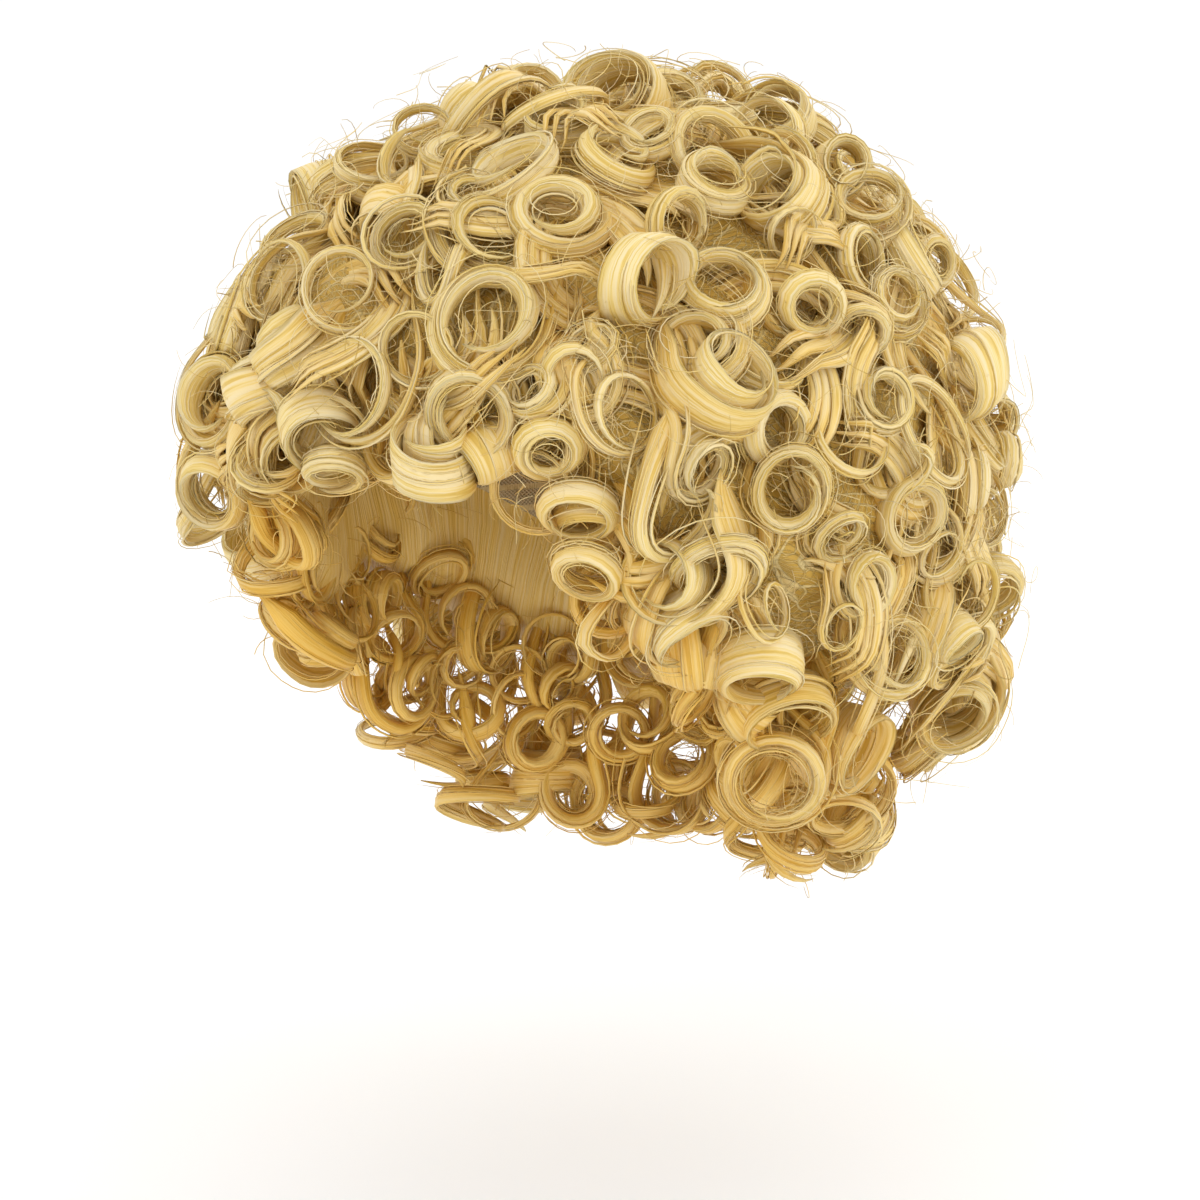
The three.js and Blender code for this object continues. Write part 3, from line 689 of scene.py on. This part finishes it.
def build_inner_side(filling):
    """Locks on the inside of the hair that hangs below the cap's edge."""
    for drop in INNER_DROPS:
        for turn in np.arange(-180 + drop, 180 + drop, INNER_STEP):
            height = cap_edge_height(turn) - drop
            if height < hem_height(turn) - 2 or from_front(turn) < TEMPLE_TURN:
                continue
            turn_here = turn + rng.normal(0, 3)
            normal = -outward(turn_here, max(height, -130.0))
            middle = head_point(turn_here, height + rng.normal(0, 3), 6.0)
            kind = rng.choice([PUFF, OPEN, RING], p=[0.35, 0.25, 0.4])
            # Painted shade: locks on the inside are darker
            add_lock(filling[piece_at(turn, height)], middle, normal, kind, size=0.85, shade=0.2, part=0.4)


FRIZZ_TUFTS, HALO_STRANDS = 340, 200
STRAY_HALF_WIDTH = (0.13, 0.22)


def build_frizz(filling):
    """Fine stray strands: tangled between the ringlets, and a soft halo just outside them."""
    for turn, height in spread_points(FRIZZ_TUFTS, 0.21):
        if height < hem_height(turn) - 6:
            continue
        out = outward(turn, height)
        centre = hair_point(turn, height, uniform(-7, 5))
        bundle = filling[piece_at(turn, height)]
        # Painted shade: tangled strands between the ringlets are darker
        add_strays(bundle, centre, out, 5, 10, length=uniform(16, 30), shade=0.15)
    for turn, height in spread_points(HALO_STRANDS, 0.83):
        if height < hem_height(turn) - 4:
            continue
        centre = hair_point(turn, height, uniform(3, 9))
        add_strays(filling[piece_at(turn, height)], centre, outward(turn, height), 2, 14,
                   length=uniform(24, 60), shade=0.0, bend_by=(2.5, 6.5))


def add_strays(bundle, centre, out, n, k, length, shade, bend_by=(1.2, 4.2)):
    """Strands of k points that curl at random through a patch of hair. bend_by is their turn in radians."""
    heading = rng.normal(0, 1, (n, 3))
    heading = normalised(heading - out * (heading @ out)[:, None] * 0.75)
    bend = normalised(rng.normal(0, 1, (n, 3)) + out * 0.6)
    step = length / (k - 1)
    rate = uniform(*bend_by, n) / (k - 1)
    place = centre + rng.normal(0, 6 if n > 1 else 1, (n, 3)) - heading * length * 0.4
    path = [place]
    for _ in range(k - 1):
        turn = np.cross(bend, heading)
        heading = normalised(heading * np.cos(rate)[:, None] + turn * np.sin(rate)[:, None])
        place = place + heading * step
        path.append(place)
    path = np.stack(path, axis=1)
    tangent = np.gradient(path, axis=1)
    wide = normalised(np.cross(tangent, out), 1e-6)
    thin = normalised(np.cross(wide, tangent), 1e-6)
    half = np.broadcast_to(uniform(*STRAY_HALF_WIDTH, (n, 1)), (n, k)) * np.linspace(1, 0.5, k)
    bundle.add(path, wide, thin, half, half, uniform(0.2, 1.0, (n, 1)), shade, 0.5)


# Materials

def new_material(name):
    material = bpy.data.materials.new(name)
    material.use_nodes = True
    return material, material.node_tree, material.node_tree.nodes["Principled BSDF"]


def set_inputs(made, values):
    for label, value in values.items():
        made.inputs[label].default_value = value


def node(tree, kind, **settings):
    made = tree.nodes.new(kind)
    for key, value in settings.items():
        setattr(made, key, value)
    return made


def math_node(tree, operation, first, second=None, third=None):
    """A maths node: each value is a number or the output of another node."""
    made = node(tree, "ShaderNodeMath", operation=operation)
    for socket, value in zip(made.inputs, (first, second, third)):
        if value is None:
            continue
        if isinstance(value, (int, float)):
            socket.default_value = value
        else:
            tree.links.new(value, socket)
    return made.outputs["Value"]


def mix_node(tree, factor, first, second, **settings):
    """A mix node: first and second are each a colour or the output of another node."""
    made = node(tree, "ShaderNodeMix", **{"data_type": "RGBA", **settings})
    tree.links.new(factor, made.inputs["Factor"])
    for label, value in (("A", first), ("B", second)):
        if isinstance(value, tuple):
            made.inputs[label].default_value = (*value, 1.0)
        else:
            tree.links.new(value, made.inputs[label])
    return made.outputs["Result"]


def noise_node(tree, place, values, mapping=None, **settings):
    """Soft noise at a place, which may be moved or stretched first by a label and its values."""
    if mapping:
        moved = node(tree, "ShaderNodeMapping")
        set_inputs(moved, mapping)
        tree.links.new(place, moved.inputs["Vector"])
        place = moved.outputs["Vector"]
    made = node(tree, "ShaderNodeTexNoise", **settings)
    set_inputs(made, values)
    tree.links.new(place, made.inputs["Vector"])
    return made.outputs["Fac"]


def step_node(tree, value, low, high):
    """A smooth step from 0 to 1 between two values."""
    made = node(tree, "ShaderNodeMapRange", interpolation_type="SMOOTHSTEP")
    set_inputs(made, {"From Min": low, "From Max": high})
    tree.links.new(value, made.inputs["Value"])
    return made.outputs["Result"]


def ramp_node(tree, value, stops):
    ramp = node(tree, "ShaderNodeValToRGB")
    while len(ramp.color_ramp.elements) < len(stops):
        ramp.color_ramp.elements.new(0.5)
    for element, (place, colour) in zip(ramp.color_ramp.elements, stops):
        element.position = place
        element.color = (*colour, 1.0)
    tree.links.new(value, ramp.inputs["Fac"])
    return ramp.outputs["Color"]


def add_bump(tree, shader, height, strength, distance):
    bump = node(tree, "ShaderNodeBump")
    set_inputs(bump, {"Strength": strength, "Distance": distance})
    tree.links.new(height, bump.inputs["Height"])
    tree.links.new(bump.outputs["Normal"], shader.inputs["Normal"])


# The streaks' colours, darkest first: the strands' own tone, with painted shade in the dark streaks and
# painted highlight in the palest; and the colour that painted shade multiplies the hair with
HAIR_STOPS = ((0.0, (0.71, 0.49, 0.11)), (0.3, (0.82, 0.615, 0.205)), (0.65, (0.86, 0.685, 0.32)),
              (1.0, (0.87, 0.725, 0.42)))
PAINTED_SHADE_COLOUR = (0.97, 0.75, 0.28)

# Streaks for each millimetre across and along a strand: broad ones, then fine ones
STREAKS = ((1.3, 0.025), (3.0, 0.045))


def hair_material():
    """Glossy synthetic hair: fine streaks along each band, partly painted shade and highlight, tinted per
    band, and darkened by painted shade near the root and deep inside.
    """
    material, tree, shader = new_material("blond_hair")
    strand = node(tree, "ShaderNodeUVMap", uv_map="Strand").outputs["UV"]
    broad, fine = (
        noise_node(tree, strand, {"Scale": 1.0, "Detail": 1.0, "Roughness": 0.6},
                   mapping={"Scale": (across, along, 1.0)}, noise_dimensions="2D")
        for across, along in STREAKS
    )
    lines = math_node(tree, "MULTIPLY_ADD", fine, 0.45, math_node(tree, "MULTIPLY", broad, 0.55))
    tint = node(tree, "ShaderNodeAttribute", attribute_name="tint").outputs["Fac"]
    shade = node(tree, "ShaderNodeAttribute", attribute_name="shade").outputs["Fac"]
    streaked = math_node(tree, "MULTIPLY_ADD", lines, 4.2, -1.72)
    colour = ramp_node(tree, math_node(tree, "MULTIPLY_ADD", tint, 0.35, streaked), HAIR_STOPS)
    # Painted shade: the shade field multiplies the colour towards a deeper gold
    deep = mix_node(tree, shade, colour, PAINTED_SHADE_COLOUR, blend_type="MULTIPLY")
    tree.links.new(deep, shader.inputs["Base Color"])
    add_bump(tree, shader, lines, strength=1.0, distance=0.0005)
    tree.links.new(math_node(tree, "MULTIPLY_ADD", lines, 0.3, 0.30), shader.inputs["Roughness"])
    set_inputs(shader, {"Specular IOR Level": 0.38, "Sheen Weight": 0.05, "Sheen Roughness": 0.4,
                        "Sheen Tint": (1.0, 0.82, 0.5, 1.0)})
    return material


# The layers of strands in the tangle, the deepest first: the noise's scale, its lines and their colour. The
# ground and the deeper layers are painted darker as shade.
TANGLE_STOPS = ((0.3, (0.47, 0.27, 0.035)), (0.7, (0.67, 0.43, 0.09)))
TANGLE_LAYERS = (
    (26.0, 30.0, (0.55, 0.34, 0.07)), (31.0, 25.0, (0.63, 0.41, 0.10)), (22.0, 36.0, (0.71, 0.49, 0.15)),
    (28.0, 29.0, (0.77, 0.57, 0.21)), (24.0, 33.0, (0.82, 0.64, 0.28)),
)


def tangle_material():
    """Dense frizz: layers of fine crossing strands, drawn as the contour lines of soft noise, with painted
    shade that darkens the ground and the deeper layers.
    """
    material, tree, shader = new_material("tangled_hair")
    place = node(tree, "ShaderNodeTexCoord").outputs["Object"]
    relief = noise_node(tree, place, {"Scale": 70.0})
    base = ramp_node(tree, relief, TANGLE_STOPS)
    for number, (scale, lines, colour) in enumerate(TANGLE_LAYERS):
        soft = noise_node(tree, place, {"Scale": scale, "Detail": 0.0},
                          mapping={"Location": (0.31 * number, 0.17 * number, 0.53 * number)})
        wave = math_node(tree, "SINE", math_node(tree, "MULTIPLY", soft, lines * FULL_TURN))
        strand = step_node(tree, wave, 0.80, 0.99)
        base = mix_node(tree, strand, base, colour)
        relief = math_node(tree, "MULTIPLY_ADD", strand, 0.5, relief)
    tree.links.new(base, shader.inputs["Base Color"])
    add_bump(tree, shader, relief, strength=0.9, distance=0.0008)
    set_inputs(shader, {"Roughness": 0.6, "Specular IOR Level": 0.3})
    return material


# The cap's net and the rows of hair sewn to it, in millimetres on its map
KNIT_PITCH, WEFT_PITCH = 1.6, 9.0


def cap_fabric():
    """Knitted stretch cap with rows of hair sewn to it."""
    material, tree, shader = new_material("stretch_cap")
    place = node(tree, "ShaderNodeUVMap", uv_map="Strand").outputs["UV"]
    parts = node(tree, "ShaderNodeSeparateXYZ")
    tree.links.new(place, parts.inputs["Vector"])
    threads = []
    for sign in (1.0, -1.0):
        slant = math_node(tree, "MULTIPLY_ADD", parts.outputs["X"], sign, parts.outputs["Y"])
        wave = math_node(tree, "SINE", math_node(tree, "MULTIPLY", slant, math.pi / KNIT_PITCH))
        threads.append(math_node(tree, "ABSOLUTE", wave))
    net = math_node(tree, "MULTIPLY", *threads)
    row = math_node(tree, "MULTIPLY", parts.outputs["Y"], FULL_TURN / WEFT_PITCH)
    weft = step_node(tree, math_node(tree, "COSINE", row), 0.55, 0.85)
    stitches = noise_node(tree, place, {"Scale": 1.0}, mapping={"Scale": (2.2, 0.35, 1.0)},
                          noise_dimensions="2D")
    cloth = mix_node(tree, net, (0.60, 0.45, 0.25), (0.34, 0.23, 0.10))
    sewn = mix_node(tree, stitches, (0.78, 0.60, 0.30), (0.50, 0.32, 0.11))
    tree.links.new(mix_node(tree, weft, cloth, sewn), shader.inputs["Base Color"])
    height = mix_node(tree, weft, net, stitches, data_type="FLOAT")
    add_bump(tree, shader, height, strength=0.6, distance=0.0006)
    set_inputs(shader, {"Roughness": 0.75})
    return material


# The cap and the underlayer are closed grids

def add_object(name, data):
    made = bpy.data.objects.new(name, data)
    bpy.context.collection.objects.link(made)
    return made


def grid_corners(mesh, columns):
    """Each corner of a grid's faces: its loop, its column and its row."""
    for polygon in mesh.polygons:
        r, c = divmod(polygon.index, columns)
        corners = ((c, r), (c, r + 1), (c + 1, r + 1), (c + 1, r))
        for loop, (column, row) in zip(polygon.loop_indices, corners):
            yield loop, column, row


# How far the underlayer's map goes round and down, in millimetres
MAP_ROUND, MAP_DOWN = 520, 430


def surface_grid(name, rows, columns, place):
    """A closed-round sheet of quads from a function of a turn and a share down."""
    points = np.array([place(360.0 * c / columns, r / (rows - 1))
                       for r in range(rows) for c in range(columns)])
    quads = []
    for r in range(rows - 1):
        for c in range(columns):
            n = (c + 1) % columns
            quads.append((r * columns + c, (r + 1) * columns + c, (r + 1) * columns + n, r * columns + n))
    mesh = bpy.data.meshes.new(name)
    mesh.from_pydata((points * METRES).tolist(), [], quads)
    for polygon in mesh.polygons:
        polygon.use_smooth = True
    uv = mesh.uv_layers.new(name="Strand")
    for loop, column, row in grid_corners(mesh, columns):
        wave = 5 * math.sin(row * 0.5 + column * 0.3)
        uv.data[loop].uv = (column / columns * MAP_ROUND + wave, row / (rows - 1) * MAP_DOWN)
    return mesh


CAP_ROWS, CAP_COLUMNS = 80, 76
CAP_ROLL = 0.035
ROW_STRETCH = 1.25


def build_cap():
    """The cap: an inner and an outer face that meet at a rolled edge, ridged where hair is sewn on."""
    def place(turn, share):
        # The rows go down the inside, round the edge and up the outside
        inside = share < 0.5
        part = share * 2 if inside else (1 - share) * 2
        grow = top = 0.0 if inside else CAP_WALL
        height = top - (top - cap_edge_height(turn)) * (1 - math.cos(part * math.pi / 2))
        rolled = max(0.0, (part - (1 - CAP_ROLL)) / CAP_ROLL)
        grow += (-0.9 if inside else 0.6) * math.sin(rolled * math.pi / 2)
        if inside:
            down = -height * ROW_STRETCH
            grow -= 0.45 * max(0.0, math.cos(FULL_TURN * down / WEFT_PITCH)) ** 3
        return head_point(turn, height, grow)

    mesh = surface_grid("wig_cap_fabric", CAP_ROWS, CAP_COLUMNS, place)
    uv = mesh.uv_layers["Strand"]
    for loop, column, _ in grid_corners(mesh, CAP_COLUMNS):
        point = mesh.vertices[mesh.loops[loop].vertex_index].co
        uv.data[loop].uv = (column / CAP_COLUMNS * math.pi * HEAD_LENGTH, (-point.z / METRES) * ROW_STRETCH)
    mesh.materials.append(cap_fabric())
    made = add_object("wig_cap_fabric", mesh)
    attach(made, "root")
    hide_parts("wig_cap")


# How deep the underlayer lies in the body of hair, and off the cap, and the share of its rows that is outside
UNDER_DEPTH, UNDER_INSIDE = 7.0, CAP_WALL + 0.4
UNDER_ROWS, UNDER_COLUMNS = 64, 88
OUTSIDE_SHARE = 0.64
# The tint and the painted shade that the combed inside reads
UNDER_TINT, UNDER_SHADE = 0.25, 0.5


def under_hair(tangled, combed):
    """The dense hair under the ringlets: a closed shell, tangled outside and combed down on the inside."""
    def place(turn, share):
        # The rows go down the outside, round the hem and up the inside
        outside = share < OUTSIDE_SHARE
        part = share / OUTSIDE_SHARE if outside else (1 - share) / (1 - OUTSIDE_SHARE)
        low = max(hem_height(turn) + 5, cap_edge_height(turn) - 50)
        top = HAIR_ABOVE - UNDER_DEPTH if outside else UNDER_INSIDE
        height = top - (top - low) * (1 - math.cos(part * math.pi / 2))
        if part == 0 and outside:
            point = np.array([0.0, HAIR_SET_BACK, top])
        elif outside:
            rough = math.sin(turn * 0.31 + height * 0.19) + math.sin(turn * 0.173 - height * 0.31)
            rough += math.sin(turn * 0.62 - height * 0.47) + 1.4 * math.sin(turn * 0.087 + height * 0.12)
            grow = -UNDER_DEPTH + 1.1 * rough * min(1.0, part * 4)
            point = hair_point(turn, min(height, HAIR_ABOVE - 1), grow)
        else:
            point = head_point(turn, height, UNDER_INSIDE)
        tuck = smooth((part - 0.9) / 0.1)
        middle = (hair_point(turn, low, -UNDER_DEPTH) + head_point(turn, low, UNDER_INSIDE)) / 2
        return point + (middle - point) * tuck * 0.9

    mesh = surface_grid("hair_underlayer", UNDER_ROWS, UNDER_COLUMNS, place)
    mesh.materials.append(tangled)
    mesh.materials.append(combed)
    for polygon in mesh.polygons:
        polygon.material_index = int(polygon.index // UNDER_COLUMNS / (UNDER_ROWS - 1) > OUTSIDE_SHARE)
    for label, value in (("tint", UNDER_TINT), ("shade", UNDER_SHADE)):
        add_field(mesh, label, np.full(len(mesh.vertices), value))
    return add_object("hair_underlayer", mesh)


def build_hair():
    material = hair_material()
    outer = {name: Bundle() for name in PIECES}
    filling = {name: Bundle() for name in PIECES}
    build_ringlets(outer, filling)
    build_hem(outer)
    build_inner_side(filling)
    build_frizz(filling)
    for label, bundles in (("ringlets", outer), ("filling", filling)):
        for name, bundle in bundles.items():
            mesh = bundle.mesh(f"{name}_{label}")
            mesh.materials.append(material)
            piece = add_object(f"{name}_{label}", mesh)
            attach(piece, "root")
            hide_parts(name)
    base = under_hair(tangle_material(), material)
    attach(base, "root")
    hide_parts(*PIECES)


# The stage: a pale floor, soft light all round, and the camera where the photograph was taken from

FLOOR_HEIGHT, FLOOR_REACH = -0.33, 12.0
SKY_STRENGTH = 1.06
SENSOR_WIDTH = 36.0

# Each light's azimuth and elevation in degrees, distance and size in metres, and power in watts
LIGHTS = {"key": (-12, 48, 1.5, 0.9, 2.0), "fill": (92, 20, 1.6, 1.1, 3.5), "rim": (205, 45, 1.7, 0.9, 2.5)}


def set_stage():
    scene = bpy.context.scene
    scene.view_settings.view_transform = "Standard"
    mesh = bpy.data.meshes.new("floor")
    square = ((-1, -1), (1, -1), (1, 1), (-1, 1))
    points = [(x * FLOOR_REACH, y * FLOOR_REACH, FLOOR_HEIGHT) for x, y in square]
    mesh.from_pydata(points, [], [(0, 1, 2, 3)])
    floor = add_object("floor", mesh)
    material, _, shader = new_material("pale_floor")
    set_inputs(shader, {"Base Color": (0.97, 0.97, 0.97, 1.0), "Roughness": 0.8})
    mesh.materials.append(material)
    world = bpy.data.worlds.new("soft_sky")
    world.use_nodes = True
    set_inputs(world.node_tree.nodes["Background"], {"Color": (1.0, 1.0, 1.0, 1.0), "Strength": SKY_STRENGTH})
    scene.world = world
    for name, (azimuth, elevation, distance, size, power) in LIGHTS.items():
        light = bpy.data.lights.new(name, "AREA")
        light.size, light.energy = size, power
        aim(add_object(name, light), azimuth, elevation, distance)


def aim(made, azimuth, elevation, distance):
    """Put a lamp or the camera at a distance from the view's target, and turn it to the target."""
    target = Vector(VIEW_TARGET)
    place = target + direction(azimuth, elevation) * distance
    turned = (place - target).to_track_quat("Z", "Y").to_matrix().to_4x4()
    made.matrix_world = Matrix.Translation(place) @ turned


def set_camera():
    data = bpy.data.cameras.new("camera")
    data.sensor_width = SENSOR_WIDTH
    data.lens = PHOTO_PX_PER_MM * VIEW_DISTANCE * 1000 / PHOTO_WIDTH_PX * SENSOR_WIDTH
    data.clip_start = 0.05
    camera = add_object("camera", data)
    aim(camera, VIEW_AZIMUTH, VIEW_ELEVATION, VIEW_DISTANCE)
    bpy.context.scene.camera = camera


build_cap()
build_hair()
set_stage()
set_camera()
